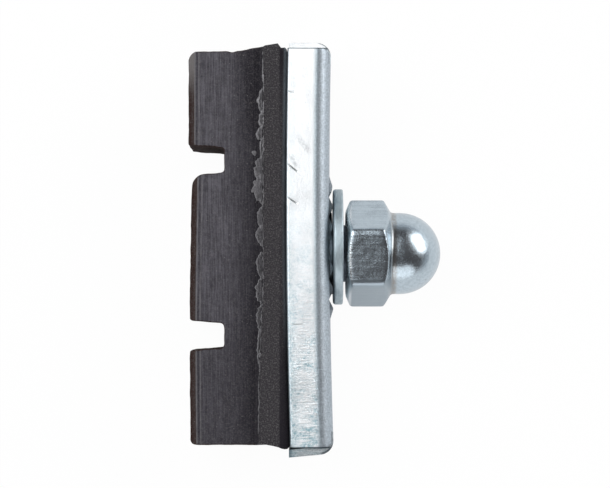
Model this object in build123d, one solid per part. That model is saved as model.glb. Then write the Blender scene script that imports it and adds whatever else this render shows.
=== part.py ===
from build123d import *
from math import cos, pi, radians, tan
import os

# Bicycle rim brake pad: a slotted rubber block in a folded steel holder, with a bolt, a washer and a cap nut.
# Millimetres. +X runs along the bolt from the rubber to the nut, +Y along the pad and +Z across its width.
# The origin is on the bolt's axis, on the flat back of the holder.

# From the holder's back to the friction face
PAD_DEPTH = 14.7

# Holder, folded from one sheet. Its middle lies a little above the bolt.
SHEET = 0.8
BEND_RADIUS = 1.5
HOLDER_WIDTH = 12.2
HOLDER_LENGTH = 42.5
HOLDER_RISE = 0.47
WALL_INSET = 0.6
WALL_DEPTH = 4.52
WALL_EDGE = 0.3
WALL_CORNER = 1.2
FLAP_DEPTH = 4.2
FLAP_GAP = 0.1
FLAP_LEAN = 6.0

# Serrated band on the back of the holder
BAND_HEIGHT = 0.3
BAND_RAMP = 0.9
GROOVE_COUNT = 6
GROOVE_PITCH = 2.15
GROOVE_WIDTH = 1.7
GROOVE_DEPTH = 0.42
SEAT_DIAMETER = 8.6

# Bolt
BOLT_DIAMETER = 6.0
TIP_CHAMFER = 0.7
HEAD_LENGTH = 9.0
HEAD_THICKNESS = 1.6
HEAD_CORNER = 0.3
HEAD_GAP = 0.15
HOLE_GAP = 0.2

# Washer, which hangs off centre by nearly all of its play on the bolt
WASHER_DIAMETER = 12.2
WASHER_THICKNESS = 1.05
WASHER_PLAY = 0.8
WASHER_ROLL = 0.3
WASHER_EDGE = 0.2
LOOSE_GAP = 0.1

# Cap nut
NUT_GAP = 0.28
NUT_SIDES = 6
NUT_FLATS = 10.0
NUT_TURN = 6.8
NUT_EDGE = 0.74
HEX_HEIGHT = 4.8
BEARING_DIAMETER = 8.9
BEARING_ANGLE = 23.0
SHOULDER_ANGLE = 30.0
NECK_LENGTH = 0.95
DOME_DIAMETER = 8.6
SEAM_DEPTH = 0.04
THREAD_GAP = 0.1
BORE_CHAMFER = 0.4

# Rubber block
BLOCK_INSET = 0.83
BLOCK_BEVEL = 0.68
UPPER_END_RADIUS = 1.0
LOWER_END_RADIUS = 0.5
LIP_THICKNESS = 1.84
LIP_SIDE_STEP = 0.1
SHELF_WIDTH = 1.0
THROAT_LENGTH = 0.42
THROAT_DROP = 0.4
THROAT_GAP = 0.12
LIP_FILLET = 0.4
LIP_EDGE = 0.3
LIP_BACK_EDGE = 0.35
UPPER_RISE = 0.75
UPPER_RAMP = 5.5
LOWER_RISE = 0.55
LOWER_RAMP = 1.6
ROOT_GAP = 0.1
ROOT_CORNER = 0.9

# Cross slots in the rubber block
SLOT_SPACING = 18.2
SLOT_WIDTH = 2.55
SLOT_DEPTH = 3.78
SLOT_FLARE = 4.0
SLOT_RADIUS = 0.3
MOUTH_RADIUS = 0.15
MIDDLE_CORNER_RADIUS = 1.4

# Factor that carries a cutting shape past the surface that it cuts
OVERRUN = 1.1

# Places along the bolt
WASHER_SEAT = BAND_HEIGHT + LOOSE_GAP
NUT_SEAT = WASHER_SEAT + WASHER_THICKNESS + NUT_GAP
NECK_START = NUT_SEAT + HEX_HEIGHT
DOME_CENTRE = NECK_START + NECK_LENGTH
THROAT_BACK = -WALL_DEPTH - THROAT_GAP
LIP_BACK = THROAT_BACK - THROAT_LENGTH
LIP_FRONT = LIP_BACK - LIP_THICKNESS
FACE = -PAD_DEPTH

# Sizes that several pieces share
INSIDE_WIDTH = HOLDER_WIDTH - 2 * SHEET
INSIDE_LENGTH = HOLDER_LENGTH - 2 * SHEET
INSIDE_BEND = BEND_RADIUS - SHEET
WALL_LENGTH = HOLDER_LENGTH - 2 * WALL_INSET
BLOCK_LENGTH = HOLDER_LENGTH - 2 * BLOCK_INSET
FLAP_START = INSIDE_LENGTH / 2 - BEND_RADIUS
BOLT_RADIUS = BOLT_DIAMETER / 2
BORE_RADIUS = BOLT_RADIUS + THREAD_GAP
DOME_RADIUS = DOME_DIAMETER / 2


def rounded_outline(corners):
    """Closed flat outline through (x, y, radius) corners, each rounded by its own radius."""
    points = [(x, y) for x, y, _ in corners]
    outline = make_face(Polyline(*points, close=True))
    for x, y, radius in corners:
        if radius > 0:
            corner = outline.vertices().sort_by_distance((x, y, 0))[0]
            outline = fillet(corner, radius)
    return outline


def both_sides(corners):
    """Corners of one half of an outline, followed by their mirror images across the X axis."""
    return corners + [(x, -y, radius) for x, y, radius in reversed(corners)]


def across(outline, width):
    """Solid from an outline in X and Y, spread to both sides of the middle."""
    return extrude(outline, width / 2, both=True)


def along(section, length):
    """Solid from a section in X and Z, spread to both sides of the middle."""
    return extrude(Plane.XZ * section, length / 2, both=True)


def turned(start, end, radius):
    """Round bar on the bolt's axis."""
    return extrude(Plane.YZ.offset(start) * Circle(radius), end - start)


def both_ends(end):
    """A shape at the upper end of the holder, and its mirror image at the lower end."""
    return end + mirror(end, Plane.XZ)


def channel():
    """Back and side walls of the holder, open at both ends for the flaps."""
    half = HOLDER_WIDTH / 2
    section = rounded_outline(both_sides([
        (-SHEET, half - SHEET, INSIDE_BEND),
        (-WALL_DEPTH, half - SHEET, 0),
        (-WALL_DEPTH, half, WALL_EDGE),
        (0, half, BEND_RADIUS),
    ]))
    opening = Box(2 * WALL_DEPTH, HOLDER_LENGTH, INSIDE_WIDTH)
    openings = both_ends(Pos(0, FLAP_START + HOLDER_LENGTH / 2, 0) * opening)
    return along(section, WALL_LENGTH) - openings - wall_corners()


def wall_corners():
    """What is rounded off the side walls where they meet the back."""
    end = WALL_LENGTH / 2
    square = Pos(0, end) * Rectangle(2 * WALL_CORNER, 2 * WALL_CORNER)
    waste = square - Pos(-WALL_CORNER, end - WALL_CORNER) * Circle(WALL_CORNER)
    return both_ends(across(waste, 2 * HOLDER_WIDTH))


def end_flap(lean):
    """Upper end flap, folded up between the side walls and leaning out by an angle in degrees."""
    outside = HOLDER_LENGTH / 2
    slope = tan(radians(lean))
    inside = outside - SHEET / cos(radians(lean))
    strip = rounded_outline([
        (0, FLAP_START, 0),
        (0, outside, BEND_RADIUS),
        (-FLAP_DEPTH, outside + FLAP_DEPTH * slope, 0),
        (-FLAP_DEPTH, inside + FLAP_DEPTH * slope, 0),
        (-SHEET, inside + SHEET * slope, INSIDE_BEND),
        (-SHEET, FLAP_START, 0),
    ])
    return across(strip, INSIDE_WIDTH - 2 * FLAP_GAP)


def serrated_band():
    """Raised band on the flat of the back, with V grooves that keep the pad from turning on its arm."""
    half = GROOVE_COUNT * GROOVE_PITCH / 2
    outline = rounded_outline(both_sides([
        (BAND_HEIGHT, half, 0),
        (0, half + BAND_RAMP, 0),
        (-SHEET / 2, half + BAND_RAMP, 0),
    ]))
    return across(outline, HOLDER_WIDTH - 2 * BEND_RADIUS)


def grooves():
    """V grooves across the band, carried past its top and edges, that spare a plain seat about the bolt."""
    bottom = BAND_HEIGHT - GROOVE_DEPTH
    depth = OVERRUN * GROOVE_DEPTH
    half = OVERRUN * GROOVE_WIDTH / 2
    notch = rounded_outline([
        (bottom, 0, 0),
        (bottom + depth, half, 0),
        (bottom + depth, -half, 0),
    ])
    row = GridLocations(0, GROOVE_PITCH, 1, GROOVE_COUNT)
    seat = Pos(0, -HOLDER_RISE, 0) * turned(-WALL_DEPTH, WALL_DEPTH, SEAT_DIAMETER / 2)
    return across(Sketch() + row * notch, HOLDER_WIDTH) - seat


def shoe_holder():
    """Folded sheet-steel holder with its serrated band and bolt hole."""
    folded = channel() + end_flap(0) + mirror(end_flap(FLAP_LEAN), Plane.XZ)
    folded = folded + serrated_band() - grooves()
    hole = turned(-WALL_DEPTH, WALL_DEPTH, BOLT_RADIUS + HOLE_GAP)
    return Pos(0, HOLDER_RISE, 0) * folded - hole


def bolt():
    """Bolt with a flat rectangular head, which the holder's side walls keep from turning."""
    half = INSIDE_WIDTH / 2 - HEAD_GAP
    section = rounded_outline(both_sides([
        (-SHEET, half - INSIDE_BEND, 0),
        (-SHEET - INSIDE_BEND, half, 0),
        (-SHEET - HEAD_THICKNESS, half, HEAD_CORNER),
    ]))
    head = along(section, HEAD_LENGTH)
    shank = turned(-SHEET - HEAD_THICKNESS / 2, DOME_CENTRE, BOLT_RADIUS)
    shank = chamfer(shank.edges().sort_by(Axis.X)[-1], TIP_CHAMFER)
    return head + shank


def washer():
    """Punched washer, its outer edge rolled over on the side of the holder."""
    end = WASHER_SEAT + WASHER_THICKNESS
    disc = turned(WASHER_SEAT, end, WASHER_DIAMETER / 2)
    disc = fillet(disc.edges().sort_by(Axis.X)[0], WASHER_ROLL)
    disc = fillet(disc.edges().sort_by(Axis.X)[-1], WASHER_EDGE)
    ring = disc - turned(WASHER_SEAT, end, BOLT_RADIUS + WASHER_PLAY)
    return Pos(0, WASHER_PLAY - LOOSE_GAP, 0) * ring


def hexagon():
    """Hexagon of the nut with rounded edges, chamfered at its bearing face and at its shoulder."""
    rim = OVERRUN * NUT_FLATS / 2 / cos(pi / NUT_SIDES)
    bearing = BEARING_DIAMETER / 2
    bearing_rise = (rim - bearing) * tan(radians(BEARING_ANGLE))
    shoulder_rise = (rim - DOME_RADIUS) * tan(radians(SHOULDER_ANGLE))
    envelope = rounded_outline([
        (NUT_SEAT, 0, 0),
        (NUT_SEAT, bearing, 0),
        (NUT_SEAT + bearing_rise, rim, 0),
        (NECK_START - shoulder_rise, rim, 0),
        (NECK_START, DOME_RADIUS, 0),
        (NECK_START, 0, 0),
    ])
    flats = RegularPolygon(NUT_FLATS / 2, NUT_SIDES, major_radius=False, rotation=NUT_TURN)
    flats = fillet(flats.vertices(), NUT_EDGE)
    return extrude(Plane.YZ.offset(NUT_SEAT) * flats, HEX_HEIGHT) & revolve(envelope, Axis.X)


def round_ended(start, radius):
    """Round bar on the bolt's axis that ends in half a ball about the dome's centre."""
    return turned(start, DOME_CENTRE, radius) + Pos(DOME_CENTRE, 0, 0) * Sphere(radius)


def nut_seam():
    """Fine groove round the neck, where the dome is joined to the hexagon."""
    middle = (NECK_START + DOME_CENTRE) / 2
    groove = rounded_outline([
        (middle, DOME_RADIUS - SEAM_DEPTH, 0),
        (middle - 2 * SEAM_DEPTH, DOME_RADIUS + SEAM_DEPTH, 0),
        (middle + 2 * SEAM_DEPTH, DOME_RADIUS + SEAM_DEPTH, 0),
    ])
    return revolve(groove, Axis.X)


def bore_mouth():
    """Countersink at the mouth of the nut's bore."""
    cone = rounded_outline([
        (NUT_SEAT, 0, 0),
        (NUT_SEAT, BORE_RADIUS + BORE_CHAMFER, 0),
        (NUT_SEAT + BORE_CHAMFER, BORE_RADIUS, 0),
        (NUT_SEAT + BORE_CHAMFER, 0, 0),
    ])
    return revolve(cone, Axis.X)


def cap_nut():
    """Hexagon, neck and dome over a blind bore with an even wall round its end."""
    body = hexagon() + round_ended(NECK_START, DOME_RADIUS)
    return body - round_ended(NUT_SEAT, BORE_RADIUS) - bore_mouth() - nut_seam()


def block_section():
    """Rubber seen along its length: friction part with bevelled edges, and lip that slopes off behind."""
    lip = HOLDER_WIDTH / 2 - LIP_SIDE_STEP
    half = lip - SHELF_WIDTH
    return rounded_outline(both_sides([
        (FACE - BLOCK_BEVEL, half - 2 * BLOCK_BEVEL, 0),
        (FACE + BLOCK_BEVEL, half, 0),
        (LIP_FRONT, half, LIP_FILLET),
        (LIP_FRONT, lip, LIP_EDGE),
        (LIP_BACK, lip, LIP_BACK_EDGE),
        (THROAT_BACK, lip - THROAT_DROP, 0),
    ]))


def slot_corners(centre, lower_radius):
    """Corners of a cross slot that widens to its mouth, from its upper wall to its lower wall."""
    narrow = SLOT_WIDTH / 2
    wide = narrow + SLOT_DEPTH * tan(radians(SLOT_FLARE))
    bottom = FACE + SLOT_DEPTH
    return [
        (FACE, centre + wide, MOUTH_RADIUS),
        (bottom, centre + narrow, SLOT_RADIUS),
        (bottom, centre - narrow, SLOT_RADIUS),
        (FACE, centre - wide, lower_radius),
    ]


def block_outline():
    """Rubber seen across its width: slotted friction part with ramps to the lip's ends, run on past the lip."""
    half = BLOCK_LENGTH / 2
    upper_slot = slot_corners(SLOT_SPACING / 2, MIDDLE_CORNER_RADIUS)
    lower_slot = slot_corners(-SLOT_SPACING / 2, MOUTH_RADIUS)
    upper_end = [
        (THROAT_BACK + LIP_EDGE, half + UPPER_RISE * (1 + LIP_EDGE / UPPER_RAMP), 0),
        (THROAT_BACK - UPPER_RAMP, half, 0),
        (FACE, half, UPPER_END_RADIUS),
    ]
    lower_end = [
        (FACE, -half, LOWER_END_RADIUS),
        (THROAT_BACK - LOWER_RAMP, -half, 0),
        (THROAT_BACK + LIP_EDGE, -half - LOWER_RISE * (1 + LIP_EDGE / LOWER_RAMP), 0),
    ]
    return rounded_outline(upper_end + upper_slot + lower_slot + lower_end)


def root():
    """Part of the rubber that fills the holder, rounded to clear the bends inside it."""
    depth = -SHEET - ROOT_GAP - LIP_BACK
    plug = Box(depth, INSIDE_LENGTH - 2 * ROOT_GAP, INSIDE_WIDTH - 2 * ROOT_GAP)
    plug = fillet(plug.faces().sort_by(Axis.X)[-1].edges(), ROOT_CORNER)
    return Pos(LIP_BACK + depth / 2, 0, 0) * plug


def rubber_block():
    """Moulded rubber, with the pocket for the bolt's head in its root."""
    moulding = along(block_section(), 2 * HOLDER_LENGTH) & across(block_outline(), 2 * HOLDER_WIDTH)
    moulding = Pos(0, HOLDER_RISE, 0) * (moulding + root())
    depth = HEAD_THICKNESS + ROOT_GAP
    pocket = Box(2 * depth, HEAD_LENGTH + 2 * HEAD_GAP, HOLDER_WIDTH)
    return moulding - Pos(-SHEET, 0, 0) * pocket


os.makedirs("parts", exist_ok=True)
export_step(rubber_block(), "parts/rubber_block.step")
export_step(shoe_holder(), "parts/shoe_holder.step")
export_step(bolt(), "parts/bolt.step")
export_step(washer(), "parts/washer.step")
export_step(cap_nut(), "parts/cap_nut.step")
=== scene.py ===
"""Studio scene of a bicycle rim brake pad, dressed over its CAD frame.

The pad lies on its side on a pale floor, and the camera looks down on it. Sizes in the classes are in
millimetres in the shared frame: +X along the bolt towards the nut, +Y along the pad, +Z up across its width.
"""

import logging
import math
import random
from collections.abc import Callable
from dataclasses import dataclass
from enum import Enum
from functools import cached_property, partial, reduce

import bmesh
import bpy
from mathutils import Matrix, Vector, noise


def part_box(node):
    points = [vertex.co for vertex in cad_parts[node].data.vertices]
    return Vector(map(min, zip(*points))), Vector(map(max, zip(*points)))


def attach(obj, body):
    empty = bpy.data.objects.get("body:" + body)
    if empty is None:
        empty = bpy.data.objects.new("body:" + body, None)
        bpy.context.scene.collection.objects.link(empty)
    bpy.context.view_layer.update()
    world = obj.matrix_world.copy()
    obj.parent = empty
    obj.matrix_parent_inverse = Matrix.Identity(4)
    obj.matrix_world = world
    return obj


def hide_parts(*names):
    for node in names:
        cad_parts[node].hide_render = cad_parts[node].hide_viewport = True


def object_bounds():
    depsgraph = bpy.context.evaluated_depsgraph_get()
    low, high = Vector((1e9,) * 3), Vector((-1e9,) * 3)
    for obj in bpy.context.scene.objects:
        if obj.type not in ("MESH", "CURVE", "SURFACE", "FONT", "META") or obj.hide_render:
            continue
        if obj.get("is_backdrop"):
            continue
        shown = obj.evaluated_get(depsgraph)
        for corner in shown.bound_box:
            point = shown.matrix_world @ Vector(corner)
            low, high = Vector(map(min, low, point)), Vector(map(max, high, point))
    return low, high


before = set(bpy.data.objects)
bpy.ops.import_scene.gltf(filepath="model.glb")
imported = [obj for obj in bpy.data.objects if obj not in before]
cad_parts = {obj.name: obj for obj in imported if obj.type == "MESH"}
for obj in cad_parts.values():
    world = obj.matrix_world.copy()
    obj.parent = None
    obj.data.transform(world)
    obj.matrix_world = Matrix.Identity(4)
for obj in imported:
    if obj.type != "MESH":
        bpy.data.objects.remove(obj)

MM = 0.001
BODY = "root"

# Places along the bolt of the friction face, of the lip and of the holder's bends
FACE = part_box("rubber_block")[0].x / MM
LIP_FRONT = -6.9
LIP_BACK = -5.06
BEND_START = -1.5
# Half widths of the lip and of the block in front of it, and the holder's middle along the pad
LIP_TOP = 6.0
BLOCK_TOP = 5.0
HOLDER_MIDDLE = 0.47

Colour = tuple[float, float, float]
Triple = tuple[float, float, float]
Span = tuple[float, float]
Socket = bpy.types.NodeSocket
Sockets = bpy.types.bpy_prop_collection
Value = Socket | float | tuple[float, ...]
log = logging.getLogger("brake_pad")


class Slot(Enum):
    """Material slots of the record."""

    RUBBER = "rubber"
    HOLDER = "holder_zinc"
    WASHER = "washer_zinc"
    NUT = "nut_zinc"


class Effect(Enum):
    """Shader node groups that several finishes share."""

    LINES = "drawn lines"
    GRAIN = "grain"
    SPECKS = "specks"
    CREASE = "crease"


class Outline(Enum):
    """Outlines of the lamps, by Blender's names."""

    ELLIPSE = "ELLIPSE"
    RECTANGLE = "RECTANGLE"


def clamped(value: float) -> float:
    """Limit a value to the span from 0 to 1."""
    return min(1.0, max(0.0, value))


def placed(name: str, data: bpy.types.ID) -> bpy.types.Object:
    """Add an object to the scene.

    Args:
        name: Name of the object.
        data: Its mesh, lamp or camera.

    Returns:
        The new object.
    """
    made = bpy.data.objects.new(name, data)
    bpy.context.scene.collection.objects.link(made)
    return made


class Wiring:
    """Short calls that add and join the nodes of one tree."""

    def __init__(self, tree: bpy.types.NodeTree) -> None:
        """Keep the tree that the calls work on."""
        self.tree = tree

    def add(self, kind: str, **settings: object) -> bpy.types.Node:
        """Add a node.

        Args:
            kind: Blender's name of the node type.
            settings: Properties of the node, by name.

        Returns:
            The new node.
        """
        node = self.tree.nodes.new(kind)
        for name, value in settings.items():
            setattr(node, name, value)
        return node

    def feed(self, socket: Socket, value: Value) -> None:
        """Join an input to an output socket, or set it to a plain value.

        Args:
            socket: Input to feed.
            value: An output socket, a number or a tuple.
        """
        if isinstance(value, Socket):
            self.tree.links.new(value, socket)
        elif isinstance(value, tuple) and socket.type == "RGBA":
            socket.default_value = (*value, 1.0)
        else:
            socket.default_value = value

    def join(self, node: bpy.types.Node, values: dict[int | str, Value], output: int | str = 0) -> Socket:
        """Feed the inputs of a node.

        Args:
            node: Node to feed.
            values: Values or sockets, by the inputs' names or numbers.
            output: Name or number of the output that is wanted.

        Returns:
            The output's socket.
        """
        for key, value in values.items():
            self.feed(node.inputs[key], value)
        return node.outputs[output]

    def math(self, operation: str, *values: Value) -> Socket:
        """Result of a Math node's operation on one to three values."""
        return self.join(self.add("ShaderNodeMath", operation=operation), dict(enumerate(values)))

    def times(self, *values: Value) -> Socket:
        """Product of the values."""
        return reduce(partial(self.math, "MULTIPLY"), values)

    def most(self, *values: Value) -> Socket:
        """Largest of the values."""
        return reduce(partial(self.math, "MAXIMUM"), values)

    def minus(self, value: Value, less: Value) -> Socket:
        """Difference of two values."""
        return self.math("SUBTRACT", value, less)

    def scaled(self, value: Value, factor: Value, offset: Value) -> Socket:
        """Value times a factor, plus an offset."""
        return self.math("MULTIPLY_ADD", value, factor, offset)

    def away(self, value: Value, middle: Value = 0.0) -> Socket:
        """Distance of a value from a middle."""
        return self.math("ABSOLUTE", self.minus(value, middle))

    def fade(self, value: Value, start: Value, end: Value, low: float = 0.0, high: float = 1.0) -> Socket:
        """Smooth step, low up to the start and high from the end on."""
        values = {"Value": value, "From Min": start, "From Max": end, "To Min": low, "To Max": high}
        return self.join(self.add("ShaderNodeMapRange", interpolation_type="SMOOTHSTEP"), values, "Result")

    def blend(self, share: Value, first: Value, second: Value) -> Socket:
        """Mix of two colours with a share of the second."""
        # Only their numbers tell the node's sockets for colours from those for other values
        return self.join(self.add("ShaderNodeMix", data_type="RGBA"), {0: share, 6: first, 7: second}, 2)

    def stretched(self, place: Value, stretch: Value) -> Socket:
        """Place times a stretch, axis by axis."""
        return self.join(self.add("ShaderNodeVectorMath", operation="MULTIPLY"), {0: place, 1: stretch})

    def split(self, place: Socket) -> Sockets:
        """X, Y and Z of a place or a direction."""
        return self.join(self.add("ShaderNodeSeparateXYZ"), {0: place}).node.outputs

    def cloud(self, place: Value, scale: Value, detail: float, roughness: float = 0.5) -> Socket:
        """Noise at a place, with features per millimetre, and the number and strength of finer octaves."""
        values = {"Vector": place, "Scale": scale, "Detail": detail, "Roughness": roughness}
        return self.join(self.add("ShaderNodeTexNoise"), values)

    def bumped(self, height: Socket, depth: float, below: Socket | None = None) -> Socket:
        """Add a bump.

        Args:
            height: Socket with the height, from 0 to 1.
            depth: Depth of the full height, in millimetres.
            below: Normal of a bump that this one lies on.

        Returns:
            The normal's socket.
        """
        values = {"Distance": depth * MM, "Height": height}
        if below is not None:
            values["Normal"] = below
        return self.join(self.add("ShaderNodeBump"), values)


class EffectShop:
    """Builds the shared shader node groups."""

    def build(self) -> None:
        """Build every group once."""
        self.group(Effect.LINES, self.lines, Stretch=(1.0, 1.0, 1.0), Low=0.35, High=0.7)
        self.group(Effect.GRAIN, self.grain, Scale=4.0, Low=0.3, High=0.7)
        self.group(Effect.SPECKS, self.specks, Scale=2.0, Size=0.1, Share=0.3)
        self.group(Effect.CREASE, self.crease, Length=1.0, Width=0.15)

    def group(self, effect: Effect, draw: Callable[[Wiring, Sockets], Socket], **inputs: Value) -> None:
        """Build one group, which has a place among its inputs.

        Args:
            effect: Which group.
            draw: Method that draws its mask.
            inputs: Default values of its other inputs by name; a tuple makes a vector.
        """
        tree = bpy.data.node_groups.new(effect.value, "ShaderNodeTree")
        for name, value in {"Place": (0.0, 0.0, 0.0), **inputs}.items():
            kind = "NodeSocketVector" if isinstance(value, tuple) else "NodeSocketFloat"
            tree.interface.new_socket(name, in_out="INPUT", socket_type=kind).default_value = value
        tree.interface.new_socket("Mask", in_out="OUTPUT", socket_type="NodeSocketFloat")
        wiring = Wiring(tree)
        mask = draw(wiring, wiring.add("NodeGroupInput").outputs)
        wiring.feed(wiring.add("NodeGroupOutput").inputs[0], mask)

    def lines(self, wiring: Wiring, given: Sockets) -> Socket:
        """Fine broken lines along the axis with the smallest stretch."""
        value = wiring.cloud(wiring.stretched(given["Place"], given["Stretch"]), 1.0, 3.0, 0.6)
        return wiring.fade(value, given["Low"], given["High"])

    def grain(self, wiring: Wiring, given: Sockets) -> Socket:
        """Fine even grain, as of cast or tumbled metal and of moulded rubber."""
        value = wiring.cloud(given["Place"], given["Scale"], 5.0, 0.65)
        return wiring.fade(value, given["Low"], given["High"])

    def specks(self, wiring: Wiring, given: Sockets) -> Socket:
        """Draw small scattered specks of dust.

        Args:
            wiring: The group's wiring.
            given: The group's inputs.

        Returns:
            The mask's socket.
        """
        cells = wiring.add("ShaderNodeTexVoronoi")
        distance = wiring.join(cells, {"Vector": given["Place"], "Scale": given["Scale"]}, "Distance")
        chance = wiring.split(cells.outputs["Color"])[0]
        shown = wiring.math("LESS_THAN", chance, given["Share"])
        return wiring.times(wiring.fade(distance, given["Size"], 0.0), shown)

    def crease(self, wiring: Wiring, given: Sockets) -> Socket:
        """Draw one short nick: a soft furrow along X of its own place, fading at both ends.

        Args:
            wiring: The group's wiring.
            given: The group's inputs.

        Returns:
            The mask's socket.
        """
        along, across, _ = wiring.split(given["Place"])
        reach = wiring.math("DIVIDE", wiring.away(along), given["Length"])
        offset = wiring.math("DIVIDE", wiring.away(across), given["Width"])
        return wiring.times(wiring.fade(reach, 1.0, 0.3), wiring.fade(offset, 1.0, 0.0))


@dataclass(frozen=True)
class Bow:
    """Slight bow of the holder, which the rubber behind the lip follows.

    Attributes:
        rise: Rise towards the nut, per square millimetre.
        middle: Where along the pad the bow is lowest.
    """

    rise: float
    middle: float

    def at(self, height: float) -> float:
        """Rise of the bow at a height along the pad."""
        return self.rise * (height - self.middle) ** 2


BOW = Bow(0.00066, 5.13)


class Canvas(Wiring):
    """Wiring of one material, which knows the places on its piece in millimetres."""

    def __init__(self, name: str) -> None:
        """Begin a material.

        Args:
            name: Name of the material.
        """
        self.material = bpy.data.materials.new(name)
        self.material.use_nodes = True
        super().__init__(self.material.node_tree)
        self.shader = self.tree.nodes["Principled BSDF"]

    @cached_property
    def place(self) -> Socket:
        """Place on the piece."""
        return self.stretched(self.add("ShaderNodeTexCoord").outputs["Object"], (1 / MM,) * 3)

    @cached_property
    def axes(self) -> Sockets:
        """Depth along the bolt, height along the pad and side across it."""
        return self.split(self.place)

    @cached_property
    def straight(self) -> Socket:
        """Depth that the place would have on a holder without its bow."""
        offset = self.minus(self.axes[1], BOW.middle)
        return self.scaled(self.times(offset, offset), -BOW.rise, self.axes[0])

    def use(self, effect: Effect, **inputs: Value) -> Socket:
        """Mask of a shared group laid over the piece, with values for its inputs by name."""
        node = self.add("ShaderNodeGroup", node_tree=bpy.data.node_groups[effect.value])
        return self.join(node, {"Place": self.place, **inputs})


@dataclass(frozen=True)
class Profile:
    """Value that changes smoothly along one direction.

    Attributes:
        entries: Places and values, by rising place.
    """

    entries: tuple[tuple[float, float], ...]

    def at(self, place: float) -> float:
        """Read the profile.

        Args:
            place: Where to read.

        Returns:
            The value there.
        """
        value = self.entries[0][1]
        for (start, before), (end, after) in zip(self.entries, self.entries[1:]):
            share = clamped((place - start) / (end - start))
            value += (after - before) * share * share * (3.0 - 2.0 * share)
        return value

    def along(self, canvas: Canvas) -> Socket:
        """Read the profile along the pad in a material.

        Args:
            canvas: The material.

        Returns:
            Socket with the value.
        """
        value = self.entries[0][1]
        for (start, before), (end, after) in zip(self.entries, self.entries[1:]):
            value = canvas.math("ADD", canvas.fade(canvas.axes[1], start, end, 0.0, after - before), value)
        return value


WEAR = Profile(((-22.0, 0.3), (-10.0, 0.2), (-7.0, 0.19), (8.0, 0.35), (10.5, 0.03), (22.0, 0.03)))
SWAY = Profile(((-21.0, 0.0), (-19.6, -0.42), (-14.0, -0.42), (-3.0, 0.0), (22.0, 0.0)))
# Share of the painted reflection of the zinc walls on the rubber beside them, along the pad.
WALL_REFLECTION = Profile(((-12.0, 0.0), (-4.0, 0.55), (3.0, 0.5), (10.0, 0.7), (16.0, 1.0)))
GAP_SHADE = Profile(((-22.0, 0.9), (-13.0, 0.75), (-1.0, 0.15), (6.0, 0.0), (12.0, 0.2), (20.0, 0.8)))


@dataclass(frozen=True)
class Nick:
    """One nick or smudge in a zinc surface.

    Attributes:
        place: Middle of the nick.
        turn: Angle in the XY plane, in degrees.
        length: Half length.
        width: Half width.
        depth: Depth of the furrow, which a smudge lacks.
        grime_and_shade: Share of the finish's grime colour in it.
    """

    place: Triple
    turn: float
    length: float
    width: float
    depth: float
    grime_and_shade: float

    def mask(self, canvas: Canvas) -> Socket:
        """Draw the nick's mask.

        Args:
            canvas: The material.

        Returns:
            The mask's socket.
        """
        turn = (0.0, 0.0, math.radians(self.turn))
        node = canvas.add("ShaderNodeMapping", vector_type="TEXTURE")
        place = canvas.join(node, {"Vector": canvas.place, "Location": self.place, "Rotation": turn})
        return canvas.use(Effect.CREASE, Place=place, Length=self.length, Width=self.width)


@dataclass(frozen=True)
class ZincFinish:
    """Satin zinc plate over worked steel.

    Attributes:
        name: Name of the material.
        pale: Colour of clean plate.
        dull: Colour of dull patches.
        grime_and_shade: Colour of specks and nicks, and on the holder also of the painted shade at the
            walls' ends, on the flaps' rims and on the band.
        roughness: Roughness of clean plate.
        rough_spread: How much rougher the dull patches and lines are.
        stretch: Features per millimetre of the drawn lines, axis by axis.
        line_depth: Depth of the drawn lines.
        wave_depth: Depth of the slow waves in the sheet.
        wave_scale: Waves per millimetre.
        speck_share: Share of the specks that show.
        nicks: Single nicks.
    """

    name: str
    pale: Colour
    dull: Colour
    grime_and_shade: Colour
    roughness: float
    rough_spread: float
    stretch: Triple
    line_depth: float
    wave_depth: float
    wave_scale: float
    speck_share: float
    nicks: tuple[Nick, ...] = ()

    def material(self) -> bpy.types.Material:
        """Build the material.

        Returns:
            The new material.
        """
        canvas = Canvas(self.name)
        lines = self.drawn(canvas)
        grain = canvas.use(Effect.GRAIN, Scale=5.0)
        dullness = self.dullness(canvas, lines)
        colour = self.marked(canvas, canvas.blend(dullness, self.pale, self.dull), grain)
        normal = canvas.bumped(canvas.cloud(canvas.place, self.wave_scale, 1.0), self.wave_depth)
        normal = canvas.bumped(canvas.scaled(grain, 0.5, lines), self.line_depth, normal)
        for nick in self.nicks:
            mask = nick.mask(canvas)
            if nick.depth == 0.0:
                mask = canvas.times(mask, canvas.scaled(grain, 1.3, 0.25))
            colour = canvas.blend(canvas.times(mask, nick.grime_and_shade), colour, self.grime_and_shade)
            if nick.depth > 0.0:
                normal = canvas.bumped(canvas.minus(1.0, mask), nick.depth, normal)
        rough = canvas.scaled(grain, 0.06, canvas.scaled(dullness, self.rough_spread, self.roughness))
        values = {"Metallic": 1.0, "Base Color": colour, "Roughness": rough, "Normal": normal}
        canvas.join(canvas.shader, values)
        return canvas.material

    def drawn(self, canvas: Canvas) -> Socket:
        """Mask of the drawn lines."""
        return canvas.use(Effect.LINES, Stretch=self.stretch)

    def dullness(self, canvas: Canvas, lines: Socket) -> Socket:
        """Mask of dull plate, which the mask of the drawn lines adds to."""
        patches = canvas.use(Effect.GRAIN, Scale=0.45, Low=0.35, High=0.68)
        return canvas.scaled(lines, 0.45, canvas.times(patches, 0.55))

    def marked(self, canvas: Canvas, colour: Socket, grain: Socket) -> Socket:
        """Colour with specks laid over it."""
        specks = canvas.use(Effect.SPECKS, Scale=1.6, Size=0.16, Share=self.speck_share)
        return canvas.blend(canvas.times(specks, 0.7), colour, self.grime_and_shade)


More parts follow.
